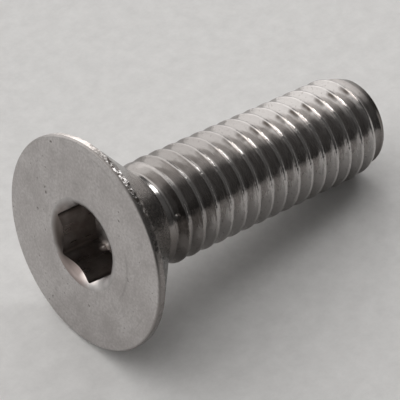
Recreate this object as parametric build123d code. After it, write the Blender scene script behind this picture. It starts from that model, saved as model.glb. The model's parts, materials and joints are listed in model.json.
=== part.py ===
"""Countersunk socket screw, M6 x 20, lying at rest on its head rim and on a thread crest near its point.

Sizes are in mm. The screw is built upright, point at the origin and head on top, with +X its upper
side. It is then laid down along X, head towards -X, with the origin under the middle of its box.
"""

import os
from math import atan2, ceil, cos, degrees, radians, sin, tan

from build123d import *

# Overall length, point to face
LENGTH = 20.0

# Head
HEAD_D = 11.95  # across the cylindrical land
LAND = 0.4  # face to the back edge of the land
SEAT_ANGLE = 90.0  # included angle of the conical seat
FACE_EDGE = 0.12  # rounding between face and land
LAND_EDGE = 0.05  # rounding between land and seat

# Hexagon socket
SOCKET_AF = 4.0  # across the flats
SOCKET_DEPTH = 2.5  # face to the lower end of the flats
SOCKET_CORNER = 0.1  # rounding of the six corners
SOCKET_TURN = 18.3  # one corner, about the axis from the upper side
MOUTH_D = 5.2  # countersink at the mouth
MOUTH_ANGLE = 120.0  # its included angle
BOTTOM_ANGLE = 120.0  # included angle of the cone below the flats

# Shank
NECK_D = 5.6  # plain neck below the seat
NECK_LENGTH = 0.7  # seat to the slope that widens to the crests
NECK_FILLET = 0.12  # between seat and neck
CREST_SLOPE = 20.0  # angle of that slope to the axis
POINT_LENGTH = 1.35  # chamfered end
POINT_DROP = 0.41  # crest radius less the radius at the end

# Thread: coarse metric, right-handed
CREST_D = 5.94
PITCH = 1.0
PITCH_DEPTH = 0.31  # crest to pitch line
FLANK_ANGLE = 60.0  # included angle between two flanks
ROOT_R = 0.14  # rounding at the root
THREAD_START = 0.59  # seat to the groove where it has its full depth, on the upper side
RUNOUT_TURNS = 0.5  # turns over which the groove rises out of the shank

# How far the cutting bodies stand out of the crests
OVERCUT = 0.04

SEAT_TAPER = tan(radians(SEAT_ANGLE / 2))
SEAT_FOOT_Z = LENGTH - LAND - (HEAD_D - NECK_D) / 2 / SEAT_TAPER
NECK_FOOT_Z = SEAT_FOOT_Z - NECK_LENGTH
CREST_TOP_Z = NECK_FOOT_Z - (CREST_D - NECK_D) / 2 / tan(radians(CREST_SLOPE))
THREAD_TOP_Z = SEAT_FOOT_Z - THREAD_START

CUTTER_R = CREST_D / 2 + OVERCUT
HALF_FLANK = radians(FLANK_ANGLE / 2)
PITCH_R = CREST_D / 2 - PITCH_DEPTH
SHARP_ROOT_R = PITCH_R - PITCH / 4 / tan(HALF_FLANK)
MINOR_R = SHARP_ROOT_R + ROOT_R / sin(HALF_FLANK) - ROOT_R
POINT_TAPER = POINT_DROP / POINT_LENGTH

FROM_TOP = (Align.CENTER, Align.CENTER, Align.MAX)
FROM_BOTTOM = (Align.CENTER, Align.CENTER, Align.MIN)
QUARTER_TURN = 90.0
SEAM_TURN = 137.0  # keeps the seams of the turned faces clear of the thread's ends


def rounded(face, corner, radius):
    """The face with the outline's corner nearest to the given point rounded."""
    return fillet(face.vertices().sort_by_distance(corner)[0], radius)


def blank():
    """Head, neck and shank, before the socket, the thread and the point."""
    face_rim = (HEAD_D / 2, LENGTH)
    land_rim = (HEAD_D / 2, LENGTH - LAND)
    seat_foot = (NECK_D / 2, SEAT_FOOT_Z)
    outline = Polyline(
        (0, 0),
        (CREST_D / 2, 0),
        (CREST_D / 2, CREST_TOP_Z),
        (NECK_D / 2, NECK_FOOT_Z),
        seat_foot,
        land_rim,
        face_rim,
        (0, LENGTH),
        close=True,
    )
    section = make_face(outline)
    section = rounded(section, face_rim, FACE_EDGE)
    section = rounded(section, land_rim, LAND_EDGE)
    section = rounded(section, seat_foot, NECK_FILLET)
    return Rotation(0, 0, SEAM_TURN) * revolve(Plane.XZ * section, Axis.Z)


def socket():
    """The space of the hexagon socket, with its countersunk mouth and conical bottom."""
    hexagon = RegularPolygon(SOCKET_AF / 2, 6, major_radius=False, rotation=SOCKET_TURN)
    hexagon = fillet(hexagon.vertices(), SOCKET_CORNER)
    flats = Pos(0, 0, LENGTH) * extrude(hexagon, -SOCKET_DEPTH)
    mouth_depth = MOUTH_D / 2 / tan(radians(MOUTH_ANGLE / 2))
    mouth = Pos(0, 0, LENGTH) * Cone(0, MOUTH_D / 2, mouth_depth, align=FROM_TOP)
    bottom_depth = SOCKET_AF / 2 / tan(radians(BOTTOM_ANGLE / 2))
    bottom = Pos(0, 0, LENGTH - SOCKET_DEPTH) * Cone(0, SOCKET_AF / 2, bottom_depth, align=FROM_TOP)
    return flats + mouth + bottom


def groove_section(z):
    """The thread's groove cut along the axis: a round root between two flanks, open at the crests."""
    half_width = (CUTTER_R - SHARP_ROOT_R) * tan(HALF_FLANK)
    flank_foot = MINOR_R + ROOT_R * (1 - sin(HALF_FLANK))
    foot_width = ROOT_R * cos(HALF_FLANK)
    flanks = Polyline(
        (flank_foot, foot_width),
        (CUTTER_R, half_width),
        (CUTTER_R, -half_width),
        (flank_foot, -foot_width),
    )
    root = ThreePointArc((flank_foot, -foot_width), (MINOR_R, 0), (flank_foot, foot_width))
    return Plane.XZ * Pos(0, z) * make_face(flanks + root)


def thread(screw):
    """Cut the groove turn by turn from past the end, and let it rise out of the shank at its top."""
    turn_z = THREAD_TOP_Z - PITCH
    full_turn = Helix(PITCH, PITCH, PITCH_R, center=(0, 0, turn_z))
    cutter = sweep(groove_section(turn_z), path=full_turn, is_frenet=True)
    turns = ceil(THREAD_TOP_Z / PITCH) + 1
    screw -= [Pos(0, 0, -turn * PITCH) * cutter for turn in range(turns)]
    runout_height = RUNOUT_TURNS * PITCH
    rise = atan2(CUTTER_R - MINOR_R, runout_height)
    runout = Helix(
        PITCH / cos(rise),
        runout_height,
        PITCH_R,
        center=(0, 0, THREAD_TOP_Z),
        cone_angle=degrees(rise),
    )
    return screw - sweep(groove_section(THREAD_TOP_Z), path=runout, is_frenet=True)


def point(screw):
    """Chamfer the end: keep what lies inside a cone and the wide cylinder above it."""
    end_r = CREST_D / 2 - POINT_DROP
    height = (CUTTER_R - end_r) / POINT_TAPER
    cone = Cone(end_r, CUTTER_R, height, align=FROM_BOTTOM)
    above = Pos(0, 0, height) * Cylinder(HEAD_D, LENGTH, align=FROM_BOTTOM)
    return screw & (cone + above)


def resting_tilt():
    """Slope of the axis, in degrees, with the land's back edge and one crest on the ground."""
    land_z = LENGTH - LAND
    crests = [THREAD_TOP_Z - turn * PITCH for turn in range(1, ceil(THREAD_TOP_Z / PITCH))]
    slopes = [
        atan2((HEAD_D - CREST_D) / 2 + max(0, POINT_LENGTH - z) * POINT_TAPER, land_z - z)
        for z in crests
    ]
    return degrees(min(slopes))


screw = point(thread(blank())) - socket()
tilt = resting_tilt()
laid = Rotation(0, tilt - QUARTER_TURN, 0)
box = (laid * screw).bounding_box()
place = Pos(-(box.min.X + box.max.X) / 2, 0, -box.min.Z) * laid
resting = place * screw
resting.label = "screw"

os.makedirs("parts", exist_ok=True)
export_step(resting, "parts/screw.step")

print("solids", len(resting.solids()), "valid", resting.is_valid, "volume", round(resting.volume, 3))
print("tilt", round(tilt, 4), "face centre", (place * Pos(0, 0, LENGTH)).position)
print("box", resting.bounding_box())
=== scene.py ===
"""Countersunk socket screw lying on white paper: its steel surfaces, the light and the camera.

The screw is one closed mesh: rings round its axis, and on the shank rows that follow the thread.
Sizes are in mm, turned into metres where a point is placed. A place on the screw is (r, turn, depth):
distance from the axis, angle from the upper side, and distance from the head's face towards the point.
"""

import json
import math

import bpy
from mathutils import Matrix, Vector, noise


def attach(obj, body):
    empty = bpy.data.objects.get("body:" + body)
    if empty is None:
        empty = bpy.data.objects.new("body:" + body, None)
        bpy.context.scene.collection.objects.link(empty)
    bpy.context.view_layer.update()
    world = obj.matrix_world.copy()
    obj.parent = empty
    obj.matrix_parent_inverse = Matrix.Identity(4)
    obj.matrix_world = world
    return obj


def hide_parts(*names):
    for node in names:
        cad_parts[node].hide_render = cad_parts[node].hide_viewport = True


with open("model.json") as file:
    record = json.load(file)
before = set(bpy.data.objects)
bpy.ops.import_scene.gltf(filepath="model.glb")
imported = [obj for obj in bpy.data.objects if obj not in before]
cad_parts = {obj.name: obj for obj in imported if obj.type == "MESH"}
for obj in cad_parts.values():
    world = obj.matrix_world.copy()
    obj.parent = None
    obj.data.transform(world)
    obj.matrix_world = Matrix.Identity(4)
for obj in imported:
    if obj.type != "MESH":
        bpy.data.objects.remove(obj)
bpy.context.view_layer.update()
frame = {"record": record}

MM = 0.001
TAU = 2 * math.pi

# Screw, as in the part's source
LENGTH = 20.0
HEAD_R = 5.975
LAND = 0.4
SEAT_SLOPE = math.radians(45)
FACE_EDGE = 0.12
LAND_EDGE = 0.05
SOCKET_R = 2.0
SOCKET_DEPTH = 2.5
SOCKET_CORNER = 0.1
SOCKET_TURN = math.radians(18.3)
MOUTH_R = 2.6
BOTTOM_SLOPE = math.radians(60)
NECK_R = 2.8
NECK_LENGTH = 0.7
NECK_FILLET = 0.12
CREST_SLOPE = math.radians(20)
POINT_LENGTH = 1.35
POINT_DROP = 0.41
CREST_R = 2.97
PITCH = 1.0
PITCH_DEPTH = 0.31
HALF_FLANK = math.radians(30)
ROOT_R = 0.14
THREAD_START = 0.59
RUNOUT_TURNS = 0.5
OVERCUT = 0.04

SEAT_FOOT = LAND + (HEAD_R - NECK_R) / math.tan(SEAT_SLOPE)
NECK_FOOT = SEAT_FOOT + NECK_LENGTH
THREAD_TOP = SEAT_FOOT + THREAD_START
SHARP_ROOT_R = CREST_R - PITCH_DEPTH - PITCH / 4 / math.tan(HALF_FLANK)
MINOR_R = SHARP_ROOT_R + ROOT_R / math.sin(HALF_FLANK) - ROOT_R
RUNOUT_RISE = CREST_R + OVERCUT - MINOR_R

# Finer forms
CORNER_CUT = 0.015  # from a sharp corner of the socket to the rounded one
MOUTH_DEPTH = 0.35  # where the mouth meets the middle of a flat
MOUTH_CURVE = 1.9  # 1 is a straight cone; more is rounder at the face
CREST_ROUND = 0.07  # softening of the crests' edges
SLOPE_ROUND = 0.05  # softening where the shank's slopes meet
END_EDGE = 0.12  # rounding between the point's cone and the end
SHARP_ANGLE = math.radians(35)  # edges that turn by more stay sharp

# Unevenness of the crests
CREST_WEAR = 0.014
WAVES_PER_MM = 2.6

# Chips along the land's back edge
CHIP_DEPTH = 0.07
CHIP_TURN = math.radians(-20)  # where most of them are
CHIP_FOCUS = 6  # the higher, the closer they keep to that side
CHIP_ELSEWHERE = 0.15  # share of them on the other sides
CHIP_REACH = 0.12  # along the axis
CHIPS_PER_MM = 3.6
CHIP_COVER = 0.1  # 0 leaves half of the edge whole, and more leaves less
CHIP_GAIN = 1.6

# A burr low on the socket's wall
BURR_TURN = math.radians(154)
BURR_DEPTH = 2.4
BURR_HEIGHT = 0.14
BURR_LENGTH = 0.12  # along the axis, from its middle
BURR_WIDTH = 0.14  # round the axis, from its middle

# Rings and columns of the mesh
HEAD_COLUMNS = 576
SOCKET_COLUMNS = 288
SHANK_COLUMNS = 192
BOTTOM_RINGS = (0.4, 0.8, 1.0)  # shares of the radius
WALL_RINGS = (0, 0.02, 0.04, 0.06, 0.08, 0.12, 0.2, 0.4, 0.6, 0.8, 1)  # shares of the way up
MOUTH_RINGS = (0.15, 0.3, 0.45, 0.6, 0.75, 0.88, 1)  # shares of the way out
END_RINGS = (0.9, 0.75, 0.5, 0.25)  # shares of the radius
THREAD_ROWS = (0.03, 0.055, 0.08, 0.105, 0.15, 0.37, 0.415, 0.46)  # pitches from a crest's middle
CHIPPED_WIDTH = 0.35  # of the seat next to the land, with closer rings
PLAIN_NECK = 0.08  # from the seat to where the thread's rows start

# Marks, and places of painted highlights and shade; a turn here is in degrees from the upper side
FACE_PITS = ((3.73, 64), (3.44, 67), (3.74, 91), (3.63, -87))  # radius and turn
FACE_ARC_R = 3.5
FACE_ARC_TURN = -88
SHADED_SIDE_TURN = -75  # the side away from the light, darkened by painted shade on the face's edge, the rim and the seat
# painted highlight on the land's top
RIM_HIGHLIGHT_TURN = 14
# painted shade on the thread's lower side by the neck
NECK_SHADE_TURN = -105
PALE_BAND_TURN = 25  # along the thread; painted shade dims the pale reflected band on this side, more towards the head
# painted highlight on the upper crests
GLINT_TURN = -14
# painted shade beside each painted highlight on the crests
SHADE_DASH_TURN = -4
DENT = (2.55, -58, 4.5)  # radius, turn and depth on the thread
# painted shade on the mouth's top
MOUTH_SHADE_TURN = 8
MOUTH_BROWN_TURN = 105
# the mouth is darker on this side
MOUTH_DARKER_LEFT_TURN = 113
# a pinkish tone painted over the reflected crescent, dimming it
MOUTH_PINK_TURN = 166
# painted highlight
MOUTH_GLINT_TURN = -163

# Tones of the steel, and those laid over it for marks and for painted highlights and shade
STEEL = (0.50, 0.476, 0.462)
# for painted highlights
BRIGHT = (0.95, 0.88, 0.84)
# for faint marks, and for painted shade
GREY = (0.2, 0.185, 0.175)
# for real marks and stains, and for painted shade
STAIN_AND_SHADE = (0.10, 0.085, 0.075)
BROWN = (0.19, 0.155, 0.14)
# a pinkish tone painted over a reflection in the mouth
PINK = (0.33, 0.275, 0.26)
FACE_DARK, FACE_LIGHT = (0.425, 0.402, 0.394), (0.565, 0.544, 0.536)
FACE_PATCH = (0.36, 0.335, 0.33)
RIM_DARK, RIM_LIGHT = (0.56, 0.54, 0.53), (0.8, 0.775, 0.765)
SEAT_DARK = (0.42, 0.4, 0.386)
THREAD_DARK, THREAD_LIGHT = (0.27, 0.253, 0.245), (0.48, 0.461, 0.45)
MOUTH_DARK, MOUTH_LIGHT = (0.4, 0.385, 0.38), (0.5, 0.483, 0.476)
SOCKET_LIGHT, SOCKET_DARK = (0.54, 0.51, 0.495), (0.34, 0.305, 0.288)

# White paper, in metres
PAPER_HALF = 0.6
PAPER_FIBRES = 900  # to the metre
PAPER_DARK, PAPER_LIGHT = (0.74, 0.735, 0.728), (0.84, 0.835, 0.828)

# Light of the room. A direction is (azimuth, elevation) in degrees: azimuth 0 is the camera's side,
# and positive ones are on the camera's right
ROOM_LIGHT = (-132, 17)
ROOM_STRENGTH = 1.085
# Pairs of the cosine of the angle off the room's light, and the light there
GLOW = ((0.03, 0.0), (0.25, 0.35), (0.45, 0.95), (0.7, 1.2), (1.0, 1.3))
DARK_THING = (163, 31)
DARK_THING_RADIUS = 13
DARK_THING_EDGE = 3  # half the width of its soft outline
# Pairs of the sine of the elevation, and the ceiling's light there
CEILING = ((0.0, 0.04), (0.2, 0.07), (0.5, 0.11), (1.0, 0.14))
WARMTH = 0.985  # each of green and blue over the one before
LAMP_DISTANCE = 0.5  # metres
# Lamps: azimuth, elevation, width and height in metres, and watts
LAMPS = {"sky": (-135, 38, 0.38, 0.3, 0.17), "window": (139, 42.5, 0.16, 0.055, 0.2)}

# Camera, fitted to the photograph
CAMERA_AZIMUTH = -41.67
CAMERA_ELEVATION = 44.48
FOCAL_PIXELS = 2040.6
FRAME_PIXELS = 400
SENSOR = 36.0
FACE_CENTRE_PIXEL = (82.49, 244.78)
FACE_DISTANCE = 105.24  # along the view, in mm

# Place of the screw in the frame
mounts = {mount["name"]: mount for mount in frame["record"]["mounts"]}
FACE_CENTRE = Vector(mounts["socket"]["pos_m"])
AXIS = -Vector(mounts["socket"]["axis"]).normalized()
SIDE = Vector((0, 1, 0))
UPPER = AXIS.cross(SIDE)


def place(r, turn, depth):
    """A point of the screw in the frame."""
    across = UPPER * math.cos(turn) + SIDE * math.sin(turn)
    return FACE_CENTRE + (across * r + AXIS * depth) * MM


def arc(centre, radius, start, end, steps):
    """Points (r, depth) of an arc; angles are from the outward radius towards the point."""
    points = []
    for step in range(steps + 1):
        angle = math.radians(start + (end - start) * step / steps)
        points.append((centre[0] + radius * math.cos(angle), centre[1] + radius * math.sin(angle)))
    return points


def line(start, end, steps):
    """Points (r, depth) of a line without its two ends."""
    return [
        (start[0] + (end[0] - start[0]) * step / steps, start[1] + (end[1] - start[1]) * step / steps)
        for step in range(1, steps)
    ]


def smooth_min(a, b, width):
    """The lesser of two numbers, rounded off where they cross."""
    near = max(width - abs(a - b), 0) / width
    return min(a, b) - near * near * width / 4


def unevenness(turn, depth, r, per_mm):
    """Smooth seedless noise from -1 to 1 over the screw's surface."""
    return noise.noise(Vector((depth, r * math.sin(turn), r * math.cos(turn))) * per_mm)


def hexagon_radius(turn):
    """Distance from the axis to the socket's wall."""
    sector = TAU / 6
    off_flat = (turn - SOCKET_TURN) % sector - sector / 2
    flat = SOCKET_R / math.cos(off_flat)
    corner = SOCKET_R / math.cos(sector / 2) - CORNER_CUT
    return smooth_min(flat, corner, SOCKET_CORNER)


def mouth_depth(r):
    """Depth of the mouth's rounded cone at a radius."""
    return MOUTH_DEPTH * ((MOUTH_R - r) / (MOUTH_R - SOCKET_R)) ** MOUTH_CURVE


def burr(turn, depth):
    """How far a small burr stands out of the socket's wall."""
    along = (depth - BURR_DEPTH) / BURR_LENGTH
    across = (turn - BURR_TURN) * SOCKET_R / BURR_WIDTH
    return BURR_HEIGHT * math.exp(-along * along - across * across)


def chip(turn, r, depth):
    """How deep the land's back edge is chipped away."""
    reach = max(0, math.cos(turn - CHIP_TURN)) ** CHIP_FOCUS
    edge = math.exp(-(((depth - LAND) / CHIP_REACH) ** 2))
    chips = max(0, unevenness(turn, depth, r, CHIPS_PER_MM) + CHIP_COVER) * CHIP_GAIN
    return CHIP_DEPTH * (CHIP_ELSEWHERE + reach) * edge * chips


def envelope(depth):
    """Radius of the shank before its thread."""
    if depth < NECK_FOOT:
        return NECK_R
    slope = NECK_R + (depth - NECK_FOOT) * math.tan(CREST_SLOPE)
    point = CREST_R - (depth - LENGTH + POINT_LENGTH) * POINT_DROP / POINT_LENGTH
    return smooth_min(smooth_min(slope, CREST_R, SLOPE_ROUND), point, SLOPE_ROUND)


def groove_radius(off):
    """Radius of the groove at a distance along the axis from its middle: a round root, then a flank."""
    if off < ROOT_R * math.cos(HALF_FLANK):
        return MINOR_R + ROOT_R - math.sqrt(ROOT_R**2 - off**2)
    return SHARP_ROOT_R + off / math.tan(HALF_FLANK)


def shank_radius(turn, depth):
    """Radius of the threaded shank: the envelope less the groove."""
    start = THREAD_TOP - PITCH * turn / TAU
    groove = round((depth - start) / PITCH)
    turns_out = turn / TAU - groove
    if turns_out > RUNOUT_TURNS + 0.5:
        return envelope(depth)
    lift = max(turns_out, 0) / RUNOUT_TURNS * RUNOUT_RISE
    crest = envelope(depth)
    if crest > NECK_R:
        crest -= CREST_WEAR * (0.5 + 0.5 * unevenness(turn, depth, crest, WAVES_PER_MM))
    off = abs(depth - start - groove * PITCH)
    return smooth_min(crest, groove_radius(off) + lift, CREST_ROUND)


class Surface:
    """Vertices and faces collected ring by ring, each face with the name of its zone."""

    def __init__(self):
        self.points = []
        self.faces = []
        self.zones = []

    def point(self, r, turn, depth):
        """One vertex; returns its index."""
        self.points.append(place(r, turn, depth))
        return len(self.points) - 1

    def ring(self, columns, at):
        """A closed ring of vertices; at(turn) gives each one's (r, depth)."""
        indices = []
        for column in range(columns):
            turn = TAU * column / columns
            r, depth = at(turn)
            indices.append(self.point(r, turn, depth))
        return indices

    def face(self, corners, zone):
        """A face, without the corners that repeat."""
        kept = [v for n, v in enumerate(corners) if v != corners[n - 1]]
        if len(kept) > 2:
            self.faces.append(kept)
            self.zones.append(zone)

    def join(self, inner, outer, zone):
        """Faces between two rings whose numbers of points are equal, a multiple, or one."""
        count = max(len(inner), len(outer))
        for n in range(count):
            inner_now, inner_next = (inner[k % count * len(inner) // count] for k in (n, n + 1))
            outer_now, outer_next = (outer[k % count * len(outer) // count] for k in (n, n + 1))
            self.face([inner_now, outer_now, outer_next, inner_next], zone)

    def grow(self, last, columns, at, zone):
        """A new ring joined to the last one; returns it."""
        ring = self.ring(columns, at)
        self.join(last, ring, zone)
        return ring


def wall_point(turn, part):
    """(r, depth) on the socket's wall, a part of the way from its foot to the mouth."""
    r = hexagon_radius(turn)
    depth = SOCKET_DEPTH + (mouth_depth(r) - SOCKET_DEPTH) * part
    return r - burr(turn, depth), depth


def mouth_point(turn, part):
    """(r, depth) on the mouth, a part of the way from the wall to the face."""
    r = hexagon_radius(turn)
    r += (MOUTH_R - r) * part
    return r, mouth_depth(r)


def socket_rings(surface):
    """The socket from its bottom up to the mouth's outer edge; returns the last ring."""
    cone_height = SOCKET_R / math.tan(BOTTOM_SLOPE)
    last = [surface.point(0, 0, SOCKET_DEPTH + cone_height)]
    for part in BOTTOM_RINGS:
        bottom = (SOCKET_R * part, SOCKET_DEPTH + cone_height * (1 - part))
        last = surface.grow(last, SOCKET_COLUMNS, lambda turn: bottom, "socket")
    for part in WALL_RINGS:
        last = surface.grow(last, SOCKET_COLUMNS, lambda turn: wall_point(turn, part), "socket")
    for part in MOUTH_RINGS:
        last = surface.grow(last, SOCKET_COLUMNS, lambda turn: mouth_point(turn, part), "mouth")
    return last


def head_outline():
    """Points (r, depth) from the mouth's edge over the face, land and seat to the neck, with zones."""
    face = line((MOUTH_R, 0), (HEAD_R - FACE_EDGE, 0), steps=8)
    edge = arc((HEAD_R - FACE_EDGE, FACE_EDGE), FACE_EDGE, -90, 0, steps=8)
    land = line((HEAD_R, FACE_EDGE), (HEAD_R, LAND - LAND_EDGE), steps=5)
    back_run = LAND_EDGE * math.tan(SEAT_SLOPE / 2)
    back = arc((HEAD_R - LAND_EDGE, LAND - back_run), LAND_EDGE, 0, 45, steps=4)
    fillet_run = NECK_FILLET * math.tan(SEAT_SLOPE / 2)
    fillet = arc((NECK_R + NECK_FILLET, SEAT_FOOT + fillet_run), NECK_FILLET, 225, 180, steps=8)
    chipped_foot = (HEAD_R - CHIPPED_WIDTH, LAND + CHIPPED_WIDTH)
    chipped = line(back[-1], chipped_foot, steps=6) + [chipped_foot]
    seat = line(chipped_foot, fillet[0], steps=6)
    return (
        [(point, "face") for point in face + edge]
        + [(point, "rim") for point in land + back]
        + [(point, "seat") for point in chipped + seat + fillet]
    )


def head_rings(surface, last):
    """The face, the land and the seat; returns the last ring."""
    for (r, depth), zone in head_outline():
        last = surface.grow(last, HEAD_COLUMNS, lambda turn: (r - chip(turn, r, depth), depth), zone)
    return last


def row_depths(top, foot):
    """Depths on the upper side of the rows from a crest before the top to one past the foot.

    Also returns the number of rows to a turn.
    """
    first_crest = THREAD_TOP + PITCH / 2
    start = first_crest - PITCH * math.ceil((first_crest - top) / PITCH)
    turns = math.ceil((foot - start) / PITCH) + 1
    offsets = [0.0, *THREAD_ROWS, 0.5, *(1 - off for off in reversed(THREAD_ROWS))]
    depths = [start + PITCH * (turn + off) for turn in range(turns) for off in offsets]
    return depths + [start + PITCH * turns], len(offsets)


def shank_rings(surface, last):
    """The threaded shank, its rows following the thread; returns the last ring."""
    top = SEAT_FOOT + PLAIN_NECK
    foot = LENGTH - END_EDGE
    depths, rows_per_turn = row_depths(top, foot)
    neck = surface.grow(last, SHANK_COLUMNS, lambda turn: (shank_radius(turn, top), top), "thread")
    end = surface.ring(SHANK_COLUMNS, lambda turn: (shank_radius(turn, foot), foot))
    grid = []
    for column in range(SHANK_COLUMNS):
        turn = TAU * column / SHANK_COLUMNS
        indices = []
        for upper_depth in depths:
            depth = upper_depth - PITCH * turn / TAU
            if depth <= top:
                indices.append(neck[column])
            elif depth >= foot:
                indices.append(end[column])
            else:
                indices.append(surface.point(shank_radius(turn, depth), turn, depth))
        grid.append(indices)
    join_columns(surface, grid, rows_per_turn)
    return end


def join_columns(surface, grid, rows_per_turn):
    """Faces between the thread's columns; past the last column each row meets the one a turn before."""
    for column, here in enumerate(grid):
        after = grid[(column + 1) % len(grid)]
        shift = rows_per_turn if column == len(grid) - 1 else 0
        for row in range(len(here) - 1):
            near, far = max(row - shift, 0), max(row + 1 - shift, 0)
            surface.face([here[row], here[row + 1], after[far], after[near]], "thread")


def end_rings(surface, last):
    """The rounded edge and the flat of the point."""
    edge_steps = 6
    foot = LENGTH - END_EDGE
    for step in range(1, edge_steps + 1):
        angle = math.radians(90 * step / edge_steps)
        inwards = END_EDGE * (1 - math.cos(angle))
        depth = foot + END_EDGE * math.sin(angle)
        last = surface.grow(
            last, SHANK_COLUMNS, lambda turn: (shank_radius(turn, foot) - inwards, depth), "thread"
        )
    end_r = CREST_R - POINT_DROP
    for part in END_RINGS:
        flat = (end_r * part - END_EDGE, LENGTH)
        last = surface.grow(last, SHANK_COLUMNS, lambda turn: flat, "thread")
    surface.join(last, [surface.point(0, 0, LENGTH)], "thread")


def build_screw(materials):
    """The whole screw as one closed mesh, with a material for each zone."""
    surface = Surface()
    end = shank_rings(surface, head_rings(surface, socket_rings(surface)))
    end_rings(surface, end)
    mesh = bpy.data.meshes.new("screw_steel")
    mesh.from_pydata(surface.points, [], surface.faces)
    for material in materials.values():
        mesh.materials.append(material)
    zones = list(materials)
    mesh.polygons.foreach_set("material_index", [zones.index(zone) for zone in surface.zones])
    mesh.polygons.foreach_set("use_smooth", [True] * len(mesh.polygons))
    mesh.set_sharp_from_angle(angle=SHARP_ANGLE)
    mesh.validate()
    mesh.update()
    screw = bpy.data.objects.new("screw_steel", mesh)
    bpy.context.scene.collection.objects.link(screw)
    return screw


class Steel:
    """A steel with its nodes. They see places in mm: x down the screw's axis, z to its upper side."""

    def __init__(self, name):
        self.material = bpy.data.materials.new(name)
        self.material.use_nodes = True
        self.nodes = self.material.node_tree.nodes
        self.links = self.material.node_tree.links
        self.shader = self.nodes["Principled BSDF"]
        self.shader.inputs["Metallic"].default_value = 1
        self.tone = None
        self.relief = None
        coords = self.add("TexCoord", {}, "Object")
        slope = math.asin(-AXIS.z)
        laid = {"Vector": coords, "Location": FACE_CENTRE, "Rotation": (0, slope, 0), "Scale": (MM, MM, MM)}
        self.here = self.add("Mapping", laid, vector_type="TEXTURE")
        self.across = self.add("VectorMath", {0: self.here, 1: (0, 1, 1)}, operation="MULTIPLY")
        self.outwards = self.add("VectorMath", {0: self.across}, operation="NORMALIZE")
        self.radius = self.add("VectorMath", {0: self.across}, "Value", operation="LENGTH")
        self.depth = self.add("SeparateXYZ", {"Vector": self.here})

    def add(self, kind, inputs, output=0, **settings):
        """One output of a new node; its inputs are numbers or other nodes' outputs."""
        node = self.nodes.new("ShaderNode" + kind)
        for name, setting in settings.items():
            setattr(node, name, setting)
        for name, value in inputs.items():
            if isinstance(value, bpy.types.NodeSocket):
                self.links.new(value, node.inputs[name])
            else:
                node.inputs[name].default_value = value
        return node.outputs[output]

    def result(self, operation, *values):
        """A sum, product or other result of one or two values."""
        return self.add("Math", dict(enumerate(values)), operation=operation)

    def noise(self, per_mm, detail=2.0, stretch=(1, 1, 1)):
        """Noise from 0 to 1 with about per_mm grains to the mm, finer where the stretch is over 1."""
        vector = self.add("VectorMath", {0: self.here, 1: stretch}, operation="MULTIPLY")
        return self.add("TexNoise", {"Vector": vector, "Scale": per_mm, "Detail": detail})

    def turning_marks(self, per_mm, around=0.5):
        """Noise drawn out round the axis: per_mm grains to the mm along and across it."""
        circle = self.add("VectorMath", {0: self.outwards, 1: [around] * 3}, operation="MULTIPLY")
        along = self.add("VectorMath", {0: self.here, 1: (per_mm, 0, 0)}, operation="MULTIPLY")
        vector = self.add("VectorMath", {0: circle, 1: along}, operation="ADD")
        rings = self.result("MULTIPLY", self.radius, per_mm)
        inputs = {"Vector": vector, "W": rings, "Scale": 1.0, "Detail": 2.0}
        return self.add("TexNoise", inputs, noise_dimensions="4D")

    def fade(self, value, start, end, first=0.0, last=1.0):
        """Goes from the first number to the last as a value goes from start to end, and holds there."""
        inputs = {"Value": value, "From Min": start, "From Max": end, "To Min": first, "To Max": last}
        return self.add("MapRange", inputs)

    def side(self, turn, full, none, least=0.0, most=1.0):
        """The most within full degrees of a side of the screw, falling to the least at none degrees."""
        turn = math.radians(turn)
        towards = {0: self.outwards, 1: (0, math.sin(turn), math.cos(turn))}
        cosine = self.add("VectorMath", towards, "Value", operation="DOT_PRODUCT")
        full, none = math.cos(math.radians(full)), math.cos(math.radians(none))
        return self.fade(cosine, none, full, least, most)

    def from_spot(self, r, turn, depth):
        """Distance in mm from a spot of the screw; its turn is in degrees."""
        turn = math.radians(turn)
        spot = (depth, r * math.sin(turn), r * math.cos(turn))
        return self.add("VectorMath", {0: self.here, 1: spot}, "Value", operation="DISTANCE")

    def colour(self, value, low, high, low_colour, high_colour):
        """The surface's colour, from one colour to another as a value goes from low to high."""
        ramp = self.nodes.new("ShaderNodeValToRGB")
        self.links.new(value, ramp.inputs[0])
        first, last = ramp.color_ramp.elements
        first.position, first.color = low, (*low_colour, 1)
        last.position, last.color = high, (*high_colour, 1)
        self.tone = ramp.outputs["Color"]
        self.links.new(self.tone, self.shader.inputs["Base Color"])

    def stain(self, colour, *amounts):
        """Another colour over the one that is there, by the product of one or more amounts."""
        amount = amounts[0]
        for more in amounts[1:]:
            amount = self.result("MULTIPLY", amount, more)
        mix = self.nodes.new("ShaderNodeMix")
        mix.data_type = "RGBA"
        factor, under, over = mix.inputs[0], mix.inputs[6], mix.inputs[7]
        self.links.new(amount, factor)
        self.links.new(self.tone, under)
        over.default_value = (*colour, 1)
        self.tone = mix.outputs[2]
        self.links.new(self.tone, self.shader.inputs["Base Color"])

    def roughness(self, value, low, high, to_low, to_high):
        """The surface's roughness, as a value goes from low to high."""
        self.links.new(self.fade(value, low, high, to_low, to_high), self.shader.inputs["Roughness"])

    def bump(self, value, height_mm):
        """Relief of the given height over any that is there."""
        inputs = {"Height": value, "Distance": height_mm * MM, "Strength": 1.0}
        if self.relief:
            inputs["Normal"] = self.relief
        self.relief = self.add("Bump", inputs)
        self.links.new(self.relief, self.shader.inputs["Normal"])


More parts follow.
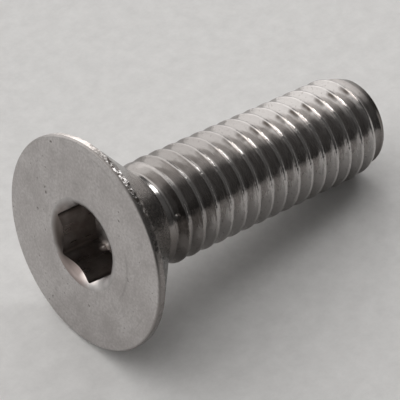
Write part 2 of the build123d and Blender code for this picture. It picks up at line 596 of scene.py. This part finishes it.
def face_steel():
    """Satin face: a fine grain, cloudy patches, a few dark specks and faint arcs from turning, and painted
    shade along its outer edge.
    """
    steel = Steel("face_steel")
    clouds = steel.noise(0.6, detail=6)
    grain = steel.noise(7, detail=6)
    arcs = steel.turning_marks(5, around=1.2)
    steel.colour(steel.result("MULTIPLY", clouds, grain), 0.14, 0.36, FACE_DARK, FACE_LIGHT)
    steel.stain(FACE_PATCH, steel.fade(steel.noise(1.6, detail=4), 0.52, 0.68, 0, 0.35))
    steel.stain(GREY, steel.fade(arcs, 0.6, 0.8, 0, 0.3))
    more_in_clouds = steel.fade(clouds, 0.35, 0.65, 0.85, 1.04)
    specks = steel.result("MULTIPLY", steel.noise(3.6, detail=1), more_in_clouds)
    steel.stain(STAIN_AND_SHADE, steel.fade(specks, 0.70, 0.78, 0, 0.8))
    for r, turn in FACE_PITS:
        pit = steel.fade(steel.from_spot(r, turn, 0), 0.05, 0.14, 0.75, 0)
        steel.stain(STAIN_AND_SHADE, pit, steel.fade(grain, 0.4, 0.55, 1, 0.3))
    off_arc = steel.result("ABSOLUTE", steel.result("SUBTRACT", steel.radius, FACE_ARC_R))
    steel.stain(GREY, steel.fade(off_arc, 0.02, 0.12, 0.3, 0), steel.side(FACE_ARC_TURN, 11.5, 30.7))
    # painted shade darkens the face's outer edge, most on the side away from the light
    edge = steel.fade(steel.radius, HEAD_R - 0.14, HEAD_R - 0.02, 0, 0.85)
    steel.stain(GREY, edge, steel.side(SHADED_SIDE_TURN, 72.5, 120, least=0.45))
    steel.roughness(clouds, 0.3, 0.7, 0.30, 0.48)
    steel.bump(grain, 0.0025)
    steel.bump(clouds, 0.012)
    steel.bump(steel.fade(arcs, 0.62, 0.75), 0.003)
    return steel.material


def rim_steel():
    """The land: a painted highlight at the top, coarse beside that, and painted shade away from the light.
    """
    steel = Steel("rim_steel")
    grain = steel.noise(6, detail=4)
    worn = steel.side(math.degrees(CHIP_TURN), 12.8, 25.8, least=0.08)
    steel.colour(steel.noise(2, detail=3), 0.3, 0.6, RIM_DARK, RIM_LIGHT)
    # painted highlight: white along the land's top
    steel.stain(BRIGHT, steel.side(RIM_HIGHLIGHT_TURN, 11.5, 23.1, most=0.8))
    steel.stain(STAIN_AND_SHADE, steel.fade(grain, 0.56, 0.4), worn)
    # painted shade on the land's side away from the light
    steel.stain(STAIN_AND_SHADE, steel.side(SHADED_SIDE_TURN, 31.8, 69.5, most=0.75))
    steel.roughness(grain, 0.35, 0.65, 0.42, 0.16)
    steel.bump(steel.result("MULTIPLY", grain, worn), 0.035)
    steel.bump(steel.turning_marks(5, around=4), 0.006)
    return steel.material


def seat_steel():
    """The conical seat: a fine grain under turning marks and small nicks, and painted shade away from the
    light.
    """
    steel = Steel("seat_steel")
    grain = steel.noise(5, detail=5)
    nicks = steel.noise(3, detail=1)
    steel.colour(grain, 0.3, 0.6, SEAT_DARK, STEEL)
    # painted shade on the seat's side away from the light
    steel.stain(STAIN_AND_SHADE, steel.side(SHADED_SIDE_TURN, 25.8, 101.5, least=0.2, most=0.8))
    steel.roughness(grain, 0.35, 0.7, 0.18, 0.34)
    steel.bump(grain, 0.003)
    steel.bump(steel.turning_marks(8, around=0.8), 0.004)
    steel.bump(steel.fade(nicks, 0.69, 0.77), 0.02)
    return steel.material


def thread_steel():
    """The rolled thread: polished, slightly uneven, with marks along its turns, painted highlights and
    shade on its crests, painted shade by the neck and along its top, and a point darkened by painted shade.
    """
    steel = Steel("thread_steel")
    waves = steel.noise(1.6, detail=1)
    marks = steel.turning_marks(9, around=5)
    steel.colour(steel.noise(8, detail=3), 0.24, 0.4, THREAD_DARK, THREAD_LIGHT)
    # painted shade darkens the point
    steel.stain(STAIN_AND_SHADE, steel.fade(steel.depth, LENGTH - 0.9, LENGTH - 0.2, 0, 0.85))
    # painted shade on the lower side of the thread near the neck
    steel.stain(STAIN_AND_SHADE, steel.fade(steel.depth, 4, 7.5, 0.8, 0), steel.side(NECK_SHADE_TURN, 25.8, 60))
    steel.stain(GREY, steel.fade(steel.depth, 5, 14, 0.12, 0))
    # painted shade dims the pale reflected band along the top, more towards the head
    steel.stain(GREY, steel.side(PALE_BAND_TURN, 18.2, 41.4), steel.fade(steel.depth, 6, 15, 0.6, 0))
    paint_crest_glints_and_shade(steel, waves)
    duller = steel.side(NECK_SHADE_TURN, 14.1, 36.9, most=0.4)
    steel.roughness(steel.result("ADD", marks, duller), 0.3, 1.1, 0.12, 0.4)
    steel.bump(waves, 0.012)
    steel.bump(marks, 0.0022)
    crest = steel.fade(steel.radius, CREST_R - 0.12, CREST_R)
    steel.bump(steel.result("MULTIPLY", crest, steel.noise(4.5)), 0.024)
    steel.bump(steel.fade(steel.from_spot(*DENT), 0.03, 0.16), 0.05)
    return steel.material


def paint_crest_glints_and_shade(steel, waves):
    """Painted highlights on the upper crests, each by a dash of painted shade on the head's side of its
    crest.
    """
    on_crest = steel.fade(steel.radius, CREST_R - 0.1, CREST_R - 0.03)
    below_crest = steel.fade(on_crest, 0.4, 1, 1, 0)
    on_flank = steel.fade(steel.radius, CREST_R - 0.3, CREST_R - 0.15)
    stronger = steel.fade(steel.depth, 6, 11)
    past_crest = steel.result("SUBTRACT", steel.depth, THREAD_TOP + PITCH / 2)
    past_crest = steel.result("FRACT", steel.result("DIVIDE", past_crest, PITCH))
    head_side = steel.fade(past_crest, 0.45, 0.55)
    # painted highlight on the upper crests
    steel.stain(BRIGHT, on_crest, steel.side(GLINT_TURN, 5.1, 11.5), stronger)
    # a dash of painted shade on the head's side of each crest
    dash = steel.result("MULTIPLY", steel.side(SHADE_DASH_TURN, 4.4, 8.9), steel.fade(waves, 0.35, 0.6, 0.6, 1))
    steel.stain(STAIN_AND_SHADE, on_flank, below_crest, dash, stronger, head_side)


def mouth_steel():
    """The mouth: painted shade at its top, darker and brown on the left, a pinkish tone painted over the
    reflection lower down, and a painted highlight at one place.
    """
    steel = Steel("mouth_steel")
    marks = steel.turning_marks(10, around=1.5)
    patches = steel.noise(1.8, detail=4)
    steel.colour(patches, 0.35, 0.65, MOUTH_DARK, MOUTH_LIGHT)
    # a pinkish tone painted over the reflected crescent on the lower side
    steel.stain(PINK, steel.side(MOUTH_PINK_TURN, 18.2, 36.9, most=0.9))
    inside = steel.fade(steel.radius, MOUTH_R - 0.03, MOUTH_R - 0.35)
    # painted shade on the mouth's top
    steel.stain(STAIN_AND_SHADE, inside, steel.side(MOUTH_SHADE_TURN, 19.1, 23.8, most=0.85))
    steel.stain(BROWN, inside, steel.side(MOUTH_BROWN_TURN, 25.8, 84.3, most=0.9))
    steel.stain(STAIN_AND_SHADE, inside, steel.side(MOUTH_DARKER_LEFT_TURN, 0, 41.4, most=0.75))
    deep = steel.fade(steel.radius, MOUTH_R - 0.25, SOCKET_R + 0.1, 0, 0.9)
    # painted highlight deep in the mouth
    steel.stain(BRIGHT, deep, steel.side(MOUTH_GLINT_TURN, 8.1, 21.6))
    steel.roughness(marks, 0.3, 0.7, 0.3, 0.48)
    steel.bump(marks, 0.003)
    steel.bump(patches, 0.02)
    return steel.material


def socket_steel():
    """The pressed socket: patchy residue, dark on its lower side, marks drawn down its flats, and a painted
    highlight on its burr.
    """
    steel = Steel("socket_steel")
    drawn = steel.noise(5, detail=3, stretch=(0.15, 1, 1))
    steel.colour(steel.noise(1.3, detail=3), 0.35, 0.65, SOCKET_LIGHT, SOCKET_DARK)
    steel.stain(STAIN_AND_SHADE, steel.side(180, 18.2, 56.6, most=0.75))
    steel.stain(STAIN_AND_SHADE, steel.fade(steel.radius, SOCKET_R + 0.19, SOCKET_R + 0.28, 0, 0.8))
    from_burr = steel.from_spot(SOCKET_R, math.degrees(BURR_TURN), BURR_DEPTH)
    # painted highlight on the burr
    steel.stain(BRIGHT, steel.fade(from_burr, 0.15, 0.35, 1, 0))
    steel.roughness(drawn, 0.3, 0.7, 0.25, 0.5)
    steel.bump(drawn, 0.008)
    return steel.material


def paper_material():
    """White paper with faint fibres."""
    material = bpy.data.materials.new("paper")
    material.use_nodes = True
    nodes, links = material.node_tree.nodes, material.node_tree.links
    shader = nodes["Principled BSDF"]
    shader.inputs["Roughness"].default_value = 0.9
    shader.inputs["Specular IOR Level"].default_value = 0.2
    coords = nodes.new("ShaderNodeTexCoord")
    fibres = nodes.new("ShaderNodeTexNoise")
    fibres.inputs["Scale"].default_value = PAPER_FIBRES
    fibres.inputs["Detail"].default_value = 6
    fibres.inputs["Roughness"].default_value = 0.75
    links.new(coords.outputs["Object"], fibres.inputs["Vector"])
    ramp = nodes.new("ShaderNodeValToRGB")
    low, high = ramp.color_ramp.elements
    low.position, low.color = 0.3, (*PAPER_DARK, 1)
    high.position, high.color = 0.7, (*PAPER_LIGHT, 1)
    links.new(fibres.outputs[0], ramp.inputs[0])
    links.new(ramp.outputs["Color"], shader.inputs["Base Color"])
    return material


def make_floor():
    """The sheet of paper under the screw."""
    mesh = bpy.data.meshes.new("paper")
    signs = ((-1, -1), (1, -1), (1, 1), (-1, 1))
    mesh.from_pydata([(x * PAPER_HALF, y * PAPER_HALF, 0) for x, y in signs], [], [(0, 1, 2, 3)])
    floor = bpy.data.objects.new("paper", mesh)
    bpy.context.scene.collection.objects.link(floor)
    mesh.materials.append(paper_material())


def direction(azimuth, elevation):
    """A direction from the screw; azimuth 0 is the camera's side, and 90 is the camera's right."""
    turn = math.radians(CAMERA_AZIMUTH + azimuth)
    rise = math.radians(elevation)
    return Vector((math.sin(turn) * math.cos(rise), -math.cos(turn) * math.cos(rise), math.sin(rise)))


class Room:
    """The world: a wide soft light on the left and behind, a dark thing in it, and a dim ceiling."""

    def __init__(self):
        world = bpy.data.worlds.new("room")
        bpy.context.scene.world = world
        world.use_nodes = True
        self.nodes, self.links = world.node_tree.nodes, world.node_tree.links
        self.coords = self.nodes.new("ShaderNodeTexCoord")
        glow = self.nodes["Background"]
        self.links.new(self.light(self.facing(*ROOM_LIGHT), GLOW), glow.inputs["Color"])
        self.links.new(self.strength(), glow.inputs["Strength"])
        ceiling = self.nodes.new("ShaderNodeBackground")
        self.links.new(self.light(self.facing(0, 90), CEILING), ceiling.inputs["Color"])
        both = self.nodes.new("ShaderNodeAddShader")
        self.links.new(glow.outputs[0], both.inputs[0])
        self.links.new(ceiling.outputs[0], both.inputs[1])
        self.links.new(both.outputs[0], self.nodes["World Output"].inputs["Surface"])

    def facing(self, azimuth, elevation):
        """The cosine of the angle off a direction."""
        dot = self.nodes.new("ShaderNodeVectorMath")
        dot.operation = "DOT_PRODUCT"
        dot.inputs[1].default_value = direction(azimuth, elevation)
        self.links.new(self.coords.outputs["Generated"], dot.inputs[0])
        return dot.outputs["Value"]

    def light(self, value, stops):
        """A slightly warm light whose strength follows the stops."""
        ramp = self.nodes.new("ShaderNodeValToRGB")
        elements = ramp.color_ramp.elements
        while len(elements) < len(stops):
            elements.new(1.0)
        for element, (position, light) in zip(elements, stops):
            element.position = position
            element.color = (light, light * WARMTH, light * WARMTH**2, 1)
        self.links.new(value, ramp.inputs[0])
        return ramp.outputs["Color"]

    def strength(self):
        """The room's strength, nothing inside the dark thing's outline."""
        dimmed = self.nodes.new("ShaderNodeMapRange")
        outside = math.radians(DARK_THING_RADIUS + DARK_THING_EDGE)
        inside = math.radians(DARK_THING_RADIUS - DARK_THING_EDGE)
        dimmed.inputs["From Min"].default_value = math.cos(outside)
        dimmed.inputs["From Max"].default_value = math.cos(inside)
        dimmed.inputs["To Min"].default_value = ROOM_STRENGTH
        dimmed.inputs["To Max"].default_value = 0
        self.links.new(self.facing(*DARK_THING), dimmed.inputs["Value"])
        return dimmed.outputs[0]


def softbox(name, azimuth, elevation, width, height, watts):
    """A lamp aimed at the screw."""
    lamp = bpy.data.lights.new(name, "AREA")
    lamp.shape = "RECTANGLE"
    lamp.size, lamp.size_y = width, height
    lamp.energy = watts
    away = direction(azimuth, elevation)
    lamp_object = bpy.data.objects.new(name, lamp)
    lamp_object.location = away * LAMP_DISTANCE
    lamp_object.rotation_mode = "QUATERNION"
    lamp_object.rotation_quaternion = away.to_track_quat("Z", "Y")
    bpy.context.scene.collection.objects.link(lamp_object)


def make_camera():
    """The camera at the photograph's angle, with the face's centre at its place in the frame."""
    data = bpy.data.cameras.new("camera")
    data.sensor_width = SENSOR
    data.lens = SENSOR * FOCAL_PIXELS / FRAME_PIXELS
    data.clip_start = 0.01
    data.clip_end = 5
    turn = math.radians(CAMERA_AZIMUTH)
    back = direction(0, CAMERA_ELEVATION)
    right = Vector((math.cos(turn), math.sin(turn), 0))
    up = back.cross(right)
    off_right = (FACE_CENTRE_PIXEL[0] - FRAME_PIXELS / 2) / FOCAL_PIXELS * FACE_DISTANCE
    off_up = (FRAME_PIXELS / 2 - FACE_CENTRE_PIXEL[1]) / FOCAL_PIXELS * FACE_DISTANCE
    spot = FACE_CENTRE + (back * FACE_DISTANCE - right * off_right - up * off_up) * MM
    camera = bpy.data.objects.new("camera", data)
    camera.matrix_world = Matrix.Translation(spot) @ Matrix((right, up, back)).transposed().to_4x4()
    bpy.context.scene.collection.objects.link(camera)
    bpy.context.scene.camera = camera


materials = {
    "socket": socket_steel(),
    "mouth": mouth_steel(),
    "face": face_steel(),
    "rim": rim_steel(),
    "seat": seat_steel(),
    "thread": thread_steel(),
}
screw = build_screw(materials)
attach(screw, "root")
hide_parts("screw")

make_floor()
Room()
for name, lamp in LAMPS.items():
    softbox(name, *lamp)
make_camera()

scene = bpy.context.scene
scene.view_settings.view_transform = "Standard"
